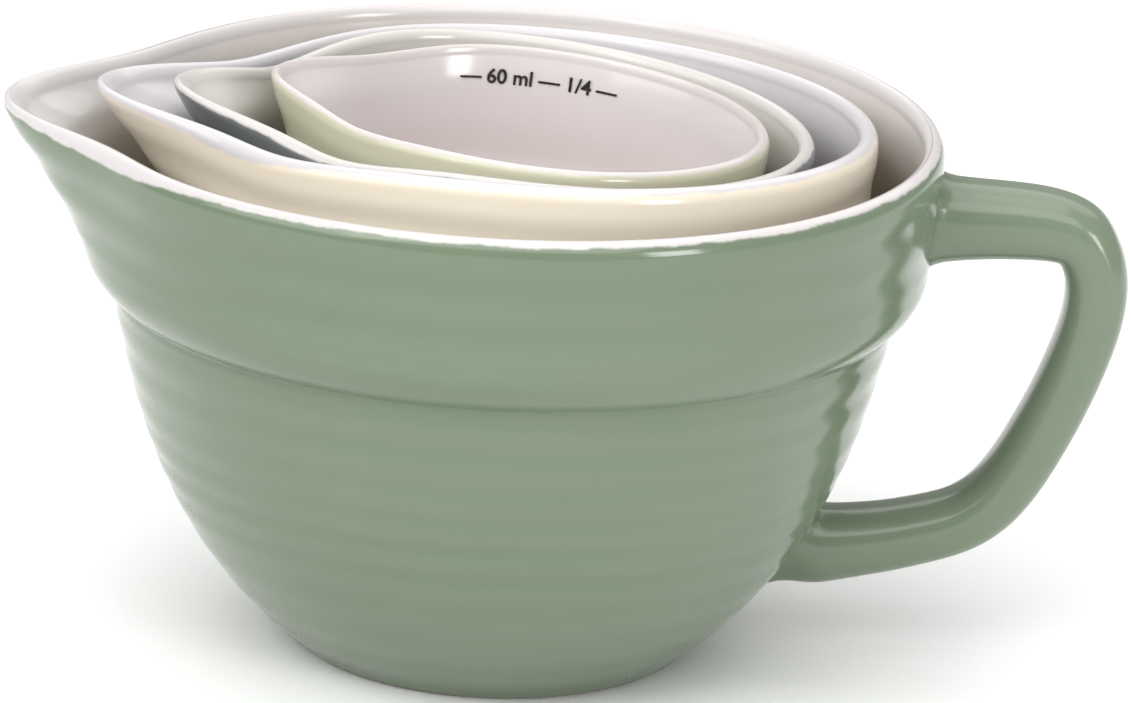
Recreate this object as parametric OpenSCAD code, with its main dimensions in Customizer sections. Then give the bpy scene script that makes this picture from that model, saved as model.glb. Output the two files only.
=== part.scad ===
// A nest of four stoneware measuring cups shaped like small batter bowls.
// The outermost cup carries a strap handle. Every cup has a pulled pouring spout, a raised
// collar below its rim and throwing rings round its bowl, and lifts straight out of the nest.
// Axis of the outermost cup on Z, foot on z = 0, handle towards +X, spouts towards -X.

/* [One cup] */
// Rim radius of the outermost cup
one_rim_r = 51; // [49:0.5:54]
// Height of the outermost cup
one_h = 64; // [62:0.5:66]
// Wall thickness of the outermost cup
one_wall = 3.2; // [2.8:0.1:3.5]
// Floor thickness of the outermost cup
one_floor = 4.3; // [3.8:0.1:4.6]
// How far its spout is pulled past the rim circle
one_spout = 9.6; // [6:0.2:10]
// Half of the angle that its spout takes up
one_spout_angle = 37; // [32:1:42]
// How far its lip dips beside the spout
one_dip = 0.3; // [0:0.1:0.6]

/* [Half cup] */
// Rim radius of the half cup
half_rim_r = 41; // [40:0.5:42]
// Height of the half cup
half_h = 59.5; // [58:0.5:61]
// Wall thickness of the half cup
half_wall = 2.9; // [2.5:0.1:3.1]
// Floor thickness of the half cup
half_floor = 3.8; // [3.4:0.1:4.2]
// How far its spout is pulled past the rim circle
half_spout = 11; // [8:0.2:11.4]
// Half of the angle that its spout takes up
half_spout_angle = 42; // [34:1:44]
// How far its lip dips beside the spout
half_dip = 1.8; // [0.5:0.1:2]
// Turn of its spout towards the front
half_turn = 4; // [0:1:5]

/* [Third cup] */
// Rim radius of the third cup
third_rim_r = 34; // [33:0.5:34.5]
// Height of the third cup
third_h = 54.5; // [53:0.5:56]
// Wall thickness of the third cup
third_wall = 2.6; // [2.3:0.1:2.8]
// Floor thickness of the third cup
third_floor = 3.4; // [3:0.1:3.8]
// How far its spout is pulled past the rim circle
third_spout = 8.8; // [6:0.2:9]
// Half of the angle that its spout takes up
third_spout_angle = 42; // [34:1:44]
// How far its lip dips beside the spout
third_dip = 2.4; // [0.5:0.1:2.6]
// Turn of its spout towards the front
third_turn = 10; // [6:1:11]

/* [Quarter cup] */
// Rim radius of the quarter cup
quarter_rim_r = 27.5; // [26:0.5:28]
// Height of the quarter cup
quarter_h = 51; // [49:0.5:52]
// Wall thickness of the quarter cup
quarter_wall = 2.2; // [2:0.1:2.5]
// Floor thickness of the quarter cup
quarter_floor = 3.1; // [2.7:0.1:3.5]
// How far its spout is pulled past the rim circle
quarter_spout = 4.6; // [3:0.1:5]
// Half of the angle that its spout takes up
quarter_spout_angle = 46; // [36:1:48]
// How far its lip dips beside the spout
quarter_dip = 0.9; // [0.3:0.1:1.2]
// Turn of its spout towards the front
quarter_turn = -5; // [-6:1:0]

/* [Cup shape] */
// Number of throwing rings round each bowl
rings = 10; // [8:1:12]
// Depth of a throwing ring as a share of the rim radius
ring_share = 0.003; // [0.002:0.001:0.009]

/* [Handle] */
// Width of the handle's strap
strap_w = 10; // [9:0.5:12]
// Thickness of the handle's strap
strap_t = 7.2; // [6.5:0.1:8]
// How much thicker the strap grows where it joins the cup
strap_flare = 3.6; // [3:0.2:4.4]

/* [Nest] */
// Clearance between a cup's foot and the floor that it stands on
seat_gap = 0.3; // [0.2:0.05:0.5]
// Lean of the half cup away from the front
half_lean_back = 2.5; // [2:0.1:2.8]
// Lean of the half cup towards the handle
half_lean_side = 1.4; // [1:0.1:1.6]
// Lean of the third cup towards the front, inside the half cup
third_lean_front = 1.5; // [1.2:0.1:1.8]
// Lean of the third cup towards the handle, inside the half cup
third_lean_side = 3; // [2.7:0.1:3.2]
// Shift of the half cup towards the handle
half_shift = 0.8; // [0.6:0.1:1]
// Shift of the third cup towards the spouts, inside the half cup
third_shift = 3.1; // [2.8:0.1:3.3]
// Shift of the quarter cup towards the handle, inside the third cup
quarter_shift = 1; // [0.7:0.1:1.2]

/* [Capacity marks] */
// Length of a dash in a capacity mark
dash_l = 2; // [1.5:0.1:3]
// Height of a dash
dash_h = 0.4; // [0.3:0.05:0.6]
// Thickness of the fired-on colour
dash_t = 0.25; // [0.2:0.05:0.4]

/* [Hidden] */

// Each cup is [rim radius, height, wall, floor, spout reach, spout angle, lip dip, capacity in millilitres]
ONE = [one_rim_r, one_h, one_wall, one_floor, one_spout, one_spout_angle, one_dip, 236.6];
HALF = [half_rim_r, half_h, half_wall, half_floor, half_spout, half_spout_angle, half_dip, 118.3];
THIRD = [third_rim_r, third_h, third_wall, third_floor, third_spout, third_spout_angle, third_dip,
         78.9];
QUARTER = [quarter_rim_r, quarter_h, quarter_wall, quarter_floor, quarter_spout, quarter_spout_angle,
           quarter_dip, 59.1];

function rim_r(c) = c[0];
function cup_h(c) = c[1];
function wall(c) = c[2];
function floor_t(c) = c[3];
function reach(c) = c[4];
function spout_angle(c) = c[5];
function dip(c) = c[6];
function capacity(c) = c[7];

// Proportions that every cup shares, as shares of its rim radius or height
foot_share = 0.458;
neck_share = 0.907;
shoulder_share = 0.972;
neck_level = 0.67;
shoulder_level = 0.27;
flat_share = 0.84;
corner_level = 0.16;
swell_even = 0.42;
swell_power = 3.2;
shoulder_power = 2.2;
spout_power = 4;
spout_level = 0.22;
spout_rise = 1.08;
dip_share = 0.87;
dip_wide = 22;
foot_edge = 0.6;
lip_rise = 1.1;

// Section of the strap, and how fast its swellings at the two joins fade along it
strap_square = 0.77;
top_fade = 10;
root_fade = 15;
// How deep the strap's ends sink into the outermost cup's wall
root_sink = 0.6;

// Smoothness
ring_steps = 2;
shoulder_steps = 3;
flare_steps = 3;
lip_steps = 6;
wall_steps = 6;
corner_steps = 4;
spout_steps = 14;
round_steps = 34;
seat_steps = 14;
strap_steps = 4;
strap_sides = 20;
round_fn = 180;

function foot_r(c) = foot_share * rim_r(c);
function neck_r(c) = neck_share * rim_r(c);
function shoulder_r(c) = shoulder_share * rim_r(c);
function neck_z(c) = neck_level * cup_h(c);
function lip_z(c) = cup_h(c) - lip_rise * wall(c) / 2;

// Share of the bowl's swell that is reached at the share u of its height
function swell(u) = swell_even * u + (1 - swell_even) * (1 - pow(1 - u, swell_power));

// Radius of the bowl, and of the collar from its neck (v = 0) to the rim (v = 1)
function bowl_r(c, z) = foot_r(c) + (neck_r(c) - foot_r(c)) * swell(max(0, min(1, z / neck_z(c))));
function round_r(c, v) = neck_r(c) + (shoulder_r(c) - neck_r(c))
    * (1 - pow(1 - min(1, v / shoulder_level), shoulder_power));
function flare_r(c, v) = shoulder_r(c) + (rim_r(c) - shoulder_r(c))
    * (v - shoulder_level) / (1 - shoulder_level);
function collar_r(c, v) = v < shoulder_level ? round_r(c, v) : flare_r(c, v);
function plain_r(c, z) = z <= neck_z(c) ? bowl_r(c, z)
    : collar_r(c, (z - neck_z(c)) / (cup_h(c) - neck_z(c)));

// Depth of the throwing rings at the height z of the bowl
function ring_cut(c, z) = ring_share * rim_r(c) * (1 - cos(360 * rings * z / neck_z(c))) / 2;

// Radius of the hollow: a flat floor, a rounded corner and a wall of even thickness
function corner_h(c) = corner_level * cup_h(c);
function corner_share(c, z) = let (v = min(1, max(0, z - floor_t(c)) / corner_h(c))) sqrt(v * (2 - v));
function flat_r(c) = flat_share * foot_r(c);
function hollow_r(c, z) = flat_r(c) + (plain_r(c, z) - wall(c) - flat_r(c)) * corner_share(c, z);

// Level at which the hollow holds the cup's nominal capacity
function slices(c, z, n) = let (h = (z - floor_t(c)) / n)
    [for (i = [0:n - 1]) PI * h * pow(hollow_r(c, floor_t(c) + h * (i + 0.5)), 2) / 1000];
function filled(c, z, n = 40) = slices(c, z, n) * [for (i = [1:n]) 1];
function fill_level(c, low, high, tries = 24) = let (mid = (low + high) / 2)
    tries == 0 ? mid
    : filled(c, mid) < capacity(c) ? fill_level(c, mid, high, tries - 1)
    : fill_level(c, low, mid, tries - 1);
function mark_z(c) = fill_level(c, floor_t(c), lip_z(c));

// Outline pieces of a cup's section, each a list of [radius, height]
function bowl_line(c) = [for (i = [1:rings * ring_steps])
    let (z = neck_z(c) * i / (rings * ring_steps)) [bowl_r(c, z) - ring_cut(c, z), z]];
function collar_line(c) = let (top = cup_h(c) - neck_z(c), low = neck_z(c) + shoulder_level * top) concat(
    [for (i = [1:shoulder_steps])
        let (v = shoulder_level * i / shoulder_steps) [collar_r(c, v), neck_z(c) + v * top]],
    [for (i = [1:flare_steps])
        let (z = low + (lip_z(c) - low) * i / flare_steps) [plain_r(c, z), z]]);
function lip_line(c) = let (r = wall(c) / 2) [for (i = [1:lip_steps]) let (a = 180 * i / lip_steps)
    [plain_r(c, lip_z(c)) - r + r * cos(a), lip_z(c) + lip_rise * r * sin(a)]];
function wall_line(c) = let (low = floor_t(c) + corner_h(c)) [for (i = [1:wall_steps])
    let (z = lip_z(c) + (low - lip_z(c)) * i / wall_steps) [hollow_r(c, z), z]];
function corner_line(c) = [for (i = [1:corner_steps])
    let (z = floor_t(c) + corner_h(c) * pow(1 - i / corner_steps, 2)) [hollow_r(c, z), z]];
function cup_section(c) = concat([[foot_r(c) - foot_edge, 0]], bowl_line(c), collar_line(c),
    lip_line(c), wall_line(c), corner_line(c));

// How far the spout pulls the wall outwards at the angle a from its middle and the height z
function spout_share(c, z) = let (v = (z - neck_z(c)) / (cup_h(c) - neck_z(c)))
    pow(max(0, (v - spout_level) / (1 - spout_level)), spout_rise);
function pull(c, a, z) = reach(c) * spout_share(c, z)
    * pow(cos(90 * min(1, abs(a) / spout_angle(c))), spout_power);

// How far the lip and the collar sink beside the spout, where the pull has drawn clay away
function collar_share(c, z) = let (v = max(0, min(1, (z - neck_z(c)) / (cup_h(c) - neck_z(c)))))
    v * v * (3 - 2 * v);
function sink(c, a, z) = dip(c) * collar_share(c, z)
    * exp(-pow((abs(a) - dip_share * spout_angle(c)) / dip_wide, 2));

// Angles round a cup from the middle of its spout: close together in the spout, wider elsewhere
function station_angles(c) = let (span = spout_angle(c)) concat(
    [for (k = [0:spout_steps - 1]) span * (2 * k / spout_steps - 1)],
    [for (k = [0:round_steps - 1]) span + (360 - 2 * span) * k / round_steps]);

// Signed angle from the middle of the spout, from -180 to 180
function from_spout(a) = a > 180 ? a - 360 : a;

// One closed shell: rings of points that follow the section from the foot, over the lip, to the floor
module cup_body(c) {
    section = cup_section(c);
    angles = station_angles(c);
    m = len(section);
    n = len(angles);
    points = [for (a = angles) for (p = section)
        let (r = p[0] + pull(c, from_spout(a), p[1]), z = p[1] - sink(c, from_spout(a), p[1]))
        [-r * cos(a), -r * sin(a), z]];
    sides = [for (k = [0:n - 1]) for (j = [0:m - 2])
        let (a = k * m + j, b = (k + 1) % n * m + j)
        for (f = [[a, a + 1, b + 1], [a, b + 1, b]]) f];
    foot = [[for (k = [0:n - 1]) k * m]];
    floor_top = [[for (k = [n - 1:-1:0]) k * m + m - 1]];
    polyhedron(points, concat(sides, foot, floor_top));
}

// Three dashes of fired-on colour on the back of the hollow, at the capacity level
module capacity_mark(c) {
    z = mark_z(c);
    step = 180 * dash_l / (PI * hollow_r(c, z));
    for (k = [-1:1])
        rotate_extrude(angle = step, start = 90 + 4 * k * step - step / 2, $fn = round_fn)
            polygon([[hollow_r(c, z), z], [hollow_r(c, z) - dash_t, z],
                     [hollow_r(c, z + dash_h) - dash_t, z + dash_h], [hollow_r(c, z + dash_h), z + dash_h]]);
}

// The strap's centre line, as shares of the outermost cup's rim radius and height
strap_line = [[0.92, 0.845], [1.245, 0.845], [1.345, 0.79], [1.355, 0.665],
              [1.265, 0.46], [1.14, 0.3], [0.96, 0.235], [0.64, 0.19]];

// Point at the share s of the smooth curve from p[1] to p[2], which passes p[0] and p[3]
function smooth_point(p, s) = 0.5 * (2 * p[1] + (p[2] - p[0]) * s
    + (2 * p[0] - 5 * p[1] + 4 * p[2] - p[3]) * s * s
    + (3 * p[1] - p[0] - 3 * p[2] + p[3]) * s * s * s);

function with_ends(p) = let (n = len(p) - 1) concat([2 * p[0] - p[1]], p, [2 * p[n] - p[n - 1]]);

function smooth_line(p) = let (q = with_ends(p), n = len(p) - 1) concat(
    [for (i = [0:n - 1]) for (k = [0:strap_steps - 1])
        smooth_point([q[i], q[i + 1], q[i + 2], q[i + 3]], k / strap_steps)],
    [p[n]]);

// A superellipse outline of half sizes a and b
function sgn_pow(x, e) = sign(x) * pow(abs(x), e);
function soft_oval(a, b) = [for (k = [0:strap_sides - 1]) let (t = 360 * k / strap_sides)
    [a * sgn_pow(cos(t), strap_square), b * sgn_pow(sin(t), strap_square)]];

module strap() {
    line = smooth_line([for (p = strap_line) [p[0] * one_rim_r, p[1] * one_h]]);
    n = len(line) - 1;
    m = strap_sides;
    points = [for (i = [0:n])
        let (
            d = line[min(n, i + 1)] - line[max(0, i - 1)],
            t = d / norm(d),
            flare = strap_flare * (exp(-top_fade * i / n) + exp(-root_fade * (n - i) / n)),
            oval = soft_oval((strap_t + flare) / 2, (strap_w + flare / 3) / 2)
        )
        for (q = oval) [line[i][0] - q[0] * t[1], q[1], line[i][1] + q[0] * t[0]]];
    sides = [for (i = [0:n - 1]) for (k = [0:m - 1])
        let (a = i * m + k, b = i * m + (k + 1) % m)
        for (f = [[a, b, b + m], [a, b + m, a + m]]) f];
    near = [[for (k = [m - 1:-1:0]) k]];
    far = [[for (k = [0:m - 1]) n * m + k]];
    polyhedron(points, concat(sides, near, far));
}

// Solid just inside the outermost cup's outer face, which the strap's ends are cut back to
module strap_seat() {
    rotate_extrude($fn = round_fn)
        polygon(concat([[0, 0]],
            [for (i = [0:seat_steps]) let (z = one_h * i / seat_steps) [plain_r(ONE, z) - root_sink, z]],
            [[0, one_h]]));
}

// How far the foot's centre rises when the cup leans by both angles and one edge stays down
function lean_lift(c, a, b) = foot_r(c) * sin(norm([a, b]));

// Places of the nested cups: each stands on the floor of the next larger one and leans a little
module in_half() {
    translate([half_shift, 0, one_floor + seat_gap + lean_lift(HALF, half_lean_back, half_lean_side)])
        rotate([-half_lean_back, half_lean_side, 0])
            children();
}
module in_third() {
    in_half()
        translate([-third_shift, 0,
                   half_floor + seat_gap + lean_lift(THIRD, third_lean_front, third_lean_side)])
            rotate([third_lean_front, third_lean_side, 0])
                children();
}
module in_quarter() {
    in_third()
        translate([quarter_shift, 0, third_floor + seat_gap])
            children();
}

module one_cup_bowl() {
    color([0.52, 0.61, 0.50]) cup_body(ONE);
}
module one_cup_handle() {
    color([0.49, 0.58, 0.47])
        difference() {
            strap();
            strap_seat();
        }
}
module one_cup_mark() {
    color([0.08, 0.08, 0.08]) capacity_mark(ONE);
}
module half_cup_bowl() {
    color([0.85, 0.78, 0.69]) in_half() rotate(half_turn) cup_body(HALF);
}
module half_cup_mark() {
    color([0.08, 0.08, 0.08]) in_half() capacity_mark(HALF);
}
module third_cup_bowl() {
    color([0.42, 0.45, 0.46]) in_third() rotate(third_turn) cup_body(THIRD);
}
module third_cup_mark() {
    color([0.08, 0.08, 0.08]) in_third() capacity_mark(THIRD);
}
module quarter_cup_bowl() {
    color([0.80, 0.80, 0.66]) in_quarter() rotate(quarter_turn) cup_body(QUARTER);
}
module quarter_cup_mark() {
    color([0.08, 0.08, 0.08]) in_quarter() capacity_mark(QUARTER);
}

one_cup_bowl();
one_cup_handle();
one_cup_mark();
half_cup_bowl();
half_cup_mark();
third_cup_bowl();
third_cup_mark();
quarter_cup_bowl();
quarter_cup_mark();
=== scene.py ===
"""Looks for a nest of four stoneware measuring cups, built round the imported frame.

Every cup is a shell of revolution with a pulled pouring spout, a ribbed collar and throwing rings.
The classes below hold sizes in millimetres; points become metres when a mesh is made.
"""

import logging
import math
from dataclasses import dataclass, field
from enum import Enum

import bmesh
import bpy
import numpy as np
from mathutils import Matrix, Quaternion, Vector


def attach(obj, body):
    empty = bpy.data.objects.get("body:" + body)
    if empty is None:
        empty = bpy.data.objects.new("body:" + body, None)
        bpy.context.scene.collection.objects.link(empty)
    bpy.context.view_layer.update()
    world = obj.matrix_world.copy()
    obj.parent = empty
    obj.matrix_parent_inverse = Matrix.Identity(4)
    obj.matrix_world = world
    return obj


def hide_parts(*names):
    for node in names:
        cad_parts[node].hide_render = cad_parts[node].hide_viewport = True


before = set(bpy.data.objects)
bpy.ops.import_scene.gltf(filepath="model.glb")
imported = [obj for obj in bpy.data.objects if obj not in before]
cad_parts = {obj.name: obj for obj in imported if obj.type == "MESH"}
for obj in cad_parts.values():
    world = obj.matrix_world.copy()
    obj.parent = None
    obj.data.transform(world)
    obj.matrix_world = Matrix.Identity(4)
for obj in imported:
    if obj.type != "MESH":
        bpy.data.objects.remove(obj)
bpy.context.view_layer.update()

MM = 0.001
LOG = logging.getLogger("measuring_cups")

Colour = tuple[float, float, float]


# --------------------------------------------------------------------------- meshes

def smoothstep(value: np.ndarray, low: float, high: float) -> np.ndarray:
    """Rises smoothly from 0 at low to 1 at high.

    Args:
        value: What is compared with the two limits.
        low: Limit at which the result starts to rise.
        high: Limit at which the result reaches 1.

    Returns:
        An array of the same shape as value.
    """
    share = np.clip((value - low) / (high - low), 0.0, 1.0)
    return share * share * (3.0 - 2.0 * share)


@dataclass
class RingMesh:
    """A closed skin made of rings of points, with a fan at each end.

    Attributes:
        rings: Points in millimetres, indexed by ring, place round the ring, and axis.
        values: Named values per ring point that the finishes read.
    """

    rings: np.ndarray
    values: dict[str, np.ndarray] = field(default_factory=dict)

    def faces(self) -> list[tuple[int, ...]]:
        """Quads between neighbouring rings and triangles to the two end points."""
        rows, cols = self.rings.shape[:2]
        near, far = rows * cols, rows * cols + 1
        found: list[tuple[int, ...]] = []
        for row in range(rows - 1):
            for col in range(cols):
                a = row * cols + col
                b = row * cols + (col + 1) % cols
                found.append((a, b, b + cols, a + cols))
        last = (rows - 1) * cols
        for col in range(cols):
            step = (col + 1) % cols
            found.append((near, step, col))
            found.append((far, last + col, last + step))
        return found

    def build(self, name: str) -> bpy.types.Object:
        """Makes the mesh object in metres, smooth shaded, with its named values.

        Args:
            name: The piece's name.

        Returns:
            The new object, linked to the scene.
        """
        cols = self.rings.shape[1]
        ends = [self.rings[0].mean(axis=0), self.rings[-1].mean(axis=0)]
        points = np.vstack([self.rings.reshape(-1, 3), ends]) * MM
        mesh = bpy.data.meshes.new(name)
        mesh.from_pydata(points.tolist(), [], self.faces())
        mesh.polygons.foreach_set("use_smooth", [True] * len(mesh.polygons))
        for key, value in self.values.items():
            flat = value.reshape(-1)
            whole = np.concatenate([flat, [flat[0], flat[-cols]]])
            layer = mesh.attributes.new(key, "FLOAT", "POINT")
            layer.data.foreach_set("value", whole.astype(np.float32))
        mesh.validate()
        mesh.update()
        piece = bpy.data.objects.new(name, mesh)
        bpy.context.scene.collection.objects.link(piece)
        return piece


# --------------------------------------------------------------------------- finishes

class NodeSheet:
    """A small helper that lays out one material's node tree."""

    def __init__(self, name: str) -> None:
        """Starts an empty material with an output and one shader."""
        self.material = bpy.data.materials.new(name)
        self.material.use_nodes = True
        self.tree = self.material.node_tree
        self.tree.nodes.clear()
        self.output = self.tree.nodes.new("ShaderNodeOutputMaterial")
        self.shader = self.tree.nodes.new("ShaderNodeBsdfPrincipled")
        self.link(self.shader.outputs["BSDF"], self.output.inputs["Surface"])
        self.place = self.tree.nodes.new("ShaderNodeTexCoord").outputs["Object"]

    def link(self, source: bpy.types.NodeSocket, target: bpy.types.NodeSocket) -> None:
        """Joins two sockets."""
        self.tree.links.new(source, target)

    def feed(self, target: bpy.types.NodeSocket, value: object) -> None:
        """Sets a socket to a plain value, or joins it to another socket."""
        if isinstance(value, bpy.types.NodeSocket):
            self.link(value, target)
        else:
            target.default_value = value

    def attribute(self, name: str) -> bpy.types.NodeSocket:
        """Reads one of the mesh's named values."""
        node = self.tree.nodes.new("ShaderNodeAttribute")
        node.attribute_name = name
        return node.outputs["Fac"]

    def noise(self, scale: float, detail: float = 3.0, rough: float = 0.5,
              stretch: Colour = (1.0, 1.0, 1.0)) -> bpy.types.NodeSocket:
        """A noise pattern from 0 to 1.

        Args:
            scale: Features per metre.
            detail: Number of finer layers.
            rough: Strength of the finer layers.
            stretch: Scale along each of the piece's own axes.

        Returns:
            The pattern's value.
        """
        mapping = self.tree.nodes.new("ShaderNodeMapping")
        mapping.inputs["Scale"].default_value = stretch
        self.link(self.place, mapping.inputs["Vector"])
        node = self.tree.nodes.new("ShaderNodeTexNoise")
        self.link(mapping.outputs["Vector"], node.inputs["Vector"])
        node.inputs["Scale"].default_value = scale
        node.inputs["Detail"].default_value = detail
        node.inputs["Roughness"].default_value = rough
        return node.outputs["Fac"]

    def maths(self, kind: str, first: object, second: object = 0.0,
              third: object = 0.0) -> bpy.types.NodeSocket:
        """One arithmetic step.

        Args:
            kind: Blender's name of the operation.
            first: First value or socket.
            second: Second value or socket.
            third: Third value or socket.

        Returns:
            The result.
        """
        node = self.tree.nodes.new("ShaderNodeMath")
        node.operation = kind
        for target, value in zip(node.inputs, (first, second, third)):
            self.feed(target, value)
        return node.outputs["Value"]

    def remap(self, value: object, low: float, high: float, new_low: float = 0.0,
              new_high: float = 1.0, smooth: bool = False) -> bpy.types.NodeSocket:
        """Maps a range of values onto another range.

        Args:
            value: The value or socket to map.
            low: Value that becomes new_low.
            high: Value that becomes new_high.
            new_low: Result at low.
            new_high: Result at high.
            smooth: Whether the change eases in and out.

        Returns:
            The mapped value.
        """
        node = self.tree.nodes.new("ShaderNodeMapRange")
        node.interpolation_type = "SMOOTHSTEP" if smooth else "LINEAR"
        self.feed(node.inputs["Value"], value)
        for key, number in (("From Min", low), ("From Max", high), ("To Min", new_low),
                            ("To Max", new_high)):
            node.inputs[key].default_value = number
        return node.outputs["Result"]

    def mix(self, share: object, first: object, second: object) -> bpy.types.NodeSocket:
        """Blends two colours.

        Args:
            share: Share of the second colour.
            first: Colour or socket at a share of 0.
            second: Colour or socket at a share of 1.

        Returns:
            The blended colour.
        """
        node = self.tree.nodes.new("ShaderNodeMix")
        node.data_type = "RGBA"
        self.feed(node.inputs[0], share)
        self.feed(node.inputs[6], first if isinstance(first, bpy.types.NodeSocket) else (*first, 1.0))
        self.feed(node.inputs[7], second if isinstance(second, bpy.types.NodeSocket) else (*second, 1.0))
        return node.outputs[2]

    def bump(self, height: object, depth: float, before: object = None) -> bpy.types.NodeSocket:
        """Tilts the surface by a height pattern.

        Args:
            height: Pattern from 0 to 1.
            depth: Height of the pattern in metres.
            before: Normal of an earlier bump, if there is one.

        Returns:
            The tilted normal.
        """
        node = self.tree.nodes.new("ShaderNodeBump")
        node.inputs["Strength"].default_value = 1.0
        node.inputs["Distance"].default_value = depth
        self.feed(node.inputs["Height"], height)
        if before is not None:
            self.link(before, node.inputs["Normal"])
        return node.outputs["Normal"]


@dataclass(frozen=True)
class StonewareGlaze:
    """A glossy coloured glaze outside, a white one inside, and a bare clay foot.

    Attributes:
        name: The material's name.
        colour: The outside glaze.
        pooled: The outside glaze where it lies thick, in grooves and creases.
        thin: The outside glaze where it runs thin, on ribs and edges.
        inside: The glaze of the hollow's top and of the lip.
        deep: Painted shade deep in the hollow: the darker colour that the inside turns towards further
            down, where shade falls.
        clay: The bare foot.
        gloss: Roughness of the glaze.
    """

    name: str
    colour: Colour
    pooled: Colour
    thin: Colour
    inside: Colour
    deep: Colour
    clay: Colour = (0.50, 0.42, 0.33)
    gloss: float = 0.15

    def outer_coat(self, sheet: NodeSheet, cloud: bpy.types.NodeSocket,
                   drift: bpy.types.NodeSocket) -> bpy.types.NodeSocket:
        """Colour of the outside glaze, by how thick it lies.

        Args:
            sheet: The material's node sheet.
            cloud: Fine unevenness of the glaze.
            drift: Broad unevenness of the glaze.

        Returns:
            The colour.
        """
        relief = sheet.attribute("relief")
        tone = sheet.mix(sheet.remap(relief, 0.0, 1.0), self.thin, self.colour)
        tone = sheet.mix(sheet.remap(relief, 1.0, 2.0), tone, self.pooled)
        tone = sheet.mix(sheet.remap(cloud, 0.35, 0.75, 0.0, 0.22), tone, self.thin)
        return sheet.mix(sheet.remap(drift, 0.35, 0.7, 0.0, 0.25), tone, self.pooled)

    def inner_coat(self, sheet: NodeSheet, drift: bpy.types.NodeSocket) -> bpy.types.NodeSocket:
        """Colour of the inside glaze, with painted shade that darkens it further down the hollow.

        Args:
            sheet: The material's node sheet.
            drift: Broad unevenness of the glaze.

        Returns:
            The colour.
        """
        warm = tuple(share * tint for share, tint in zip(self.inside, (0.965, 0.945, 0.915)))
        tone = sheet.mix(sheet.remap(drift, 0.3, 0.75, 0.0, 0.7), self.inside, warm)
        # painted shade: the inside turns towards the deep colour with depth below the lip, standing in for
        # the shade in the hollow
        down = sheet.maths("MULTIPLY_ADD", sheet.noise(60.0), 6.0, sheet.attribute("painted_shade_depth_mm"))
        return sheet.mix(sheet.remap(down, 4.0, 17.0, smooth=True), tone, self.deep)

    def material(self) -> bpy.types.Material:
        """Builds the node material."""
        sheet = NodeSheet(self.name)
        cloud = sheet.noise(70.0, 4.0, 0.55)
        drift = sheet.noise(22.0, 2.0, 0.5, (1.0, 1.0, 1.6))
        outer = self.outer_coat(sheet, cloud, drift)
        inner = self.inner_coat(sheet, drift)
        fringe = sheet.maths("MULTIPLY_ADD", sheet.noise(260.0, 3.0, 0.6), 0.9, -0.45)
        line = sheet.maths("ADD", sheet.attribute("white_mm"), fringe)
        base = sheet.mix(sheet.remap(line, -0.22, 0.22, smooth=True), outer, inner)
        speck = sheet.remap(sheet.noise(900.0, 1.0, 0.3), 0.77, 0.82, 0.0, 0.08)
        base = sheet.mix(speck, base, self.pooled)
        grain = sheet.noise(1500.0, 5.0, 0.6)
        earth = sheet.mix(grain, tuple(0.8 * share for share in self.clay), self.clay)
        bare_line = sheet.maths("ADD", sheet.attribute("bare_mm"), fringe)
        bare = sheet.remap(bare_line, -0.1, 0.1, smooth=True)
        sheet.link(sheet.mix(bare, base, earth), sheet.shader.inputs["Base Color"])
        shine = sheet.remap(cloud, 0.3, 0.7, self.gloss * 0.8, self.gloss * 1.3)
        dull = sheet.maths("MULTIPLY_ADD", bare, 0.75, shine)
        sheet.link(dull, sheet.shader.inputs["Roughness"])
        waves = sheet.bump(sheet.noise(110.0, 1.0, 0.4), 0.00006)
        peel = sheet.bump(sheet.noise(700.0, 2.0, 0.5), 0.000004, waves)
        grit = sheet.maths("MULTIPLY", grain, bare)
        sheet.link(sheet.bump(grit, 0.00006, peel), sheet.shader.inputs["Normal"])
        sheet.shader.inputs["IOR"].default_value = 1.5
        return sheet.material


@dataclass(frozen=True)
class FiredEnamel:
    """The black enamel that a capacity mark is fired on with.

    Attributes:
        name: The material's name.
        colour: The enamel's colour.
        worn: Its colour where it is thin.
    """

    name: str = "black_enamel"
    colour: Colour = (0.012, 0.012, 0.013)
    worn: Colour = (0.05, 0.048, 0.046)

    def material(self) -> bpy.types.Material:
        """Builds the node material."""
        sheet = NodeSheet(self.name)
        cloud = sheet.noise(1800.0, 4.0, 0.6)
        tone = sheet.mix(sheet.remap(cloud, 0.5, 0.8, 0.0, 0.6), self.colour, self.worn)
        sheet.link(tone, sheet.shader.inputs["Base Color"])
        sheet.link(sheet.remap(cloud, 0.3, 0.7, 0.22, 0.34), sheet.shader.inputs["Roughness"])
        sheet.link(sheet.bump(cloud, 0.000005), sheet.shader.inputs["Normal"])
        return sheet.material


@dataclass(frozen=True)
class StudioPaper:
    """Pale seamless paper under the cups.

    Attributes:
        name: The material's name.
        colour: The paper's colour.
    """

    name: str = "studio_paper"
    colour: Colour = (0.93, 0.93, 0.93)

    def material(self) -> bpy.types.Material:
        """Builds the node material."""
        sheet = NodeSheet(self.name)
        shade = tuple(0.985 * share for share in self.colour)
        sheet.link(sheet.mix(sheet.noise(4.0, 2.0), self.colour, shade), sheet.shader.inputs["Base Color"])
        sheet.shader.inputs["Roughness"].default_value = 0.8
        sheet.shader.inputs["Specular IOR Level"].default_value = 0.1
        return sheet.material


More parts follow.
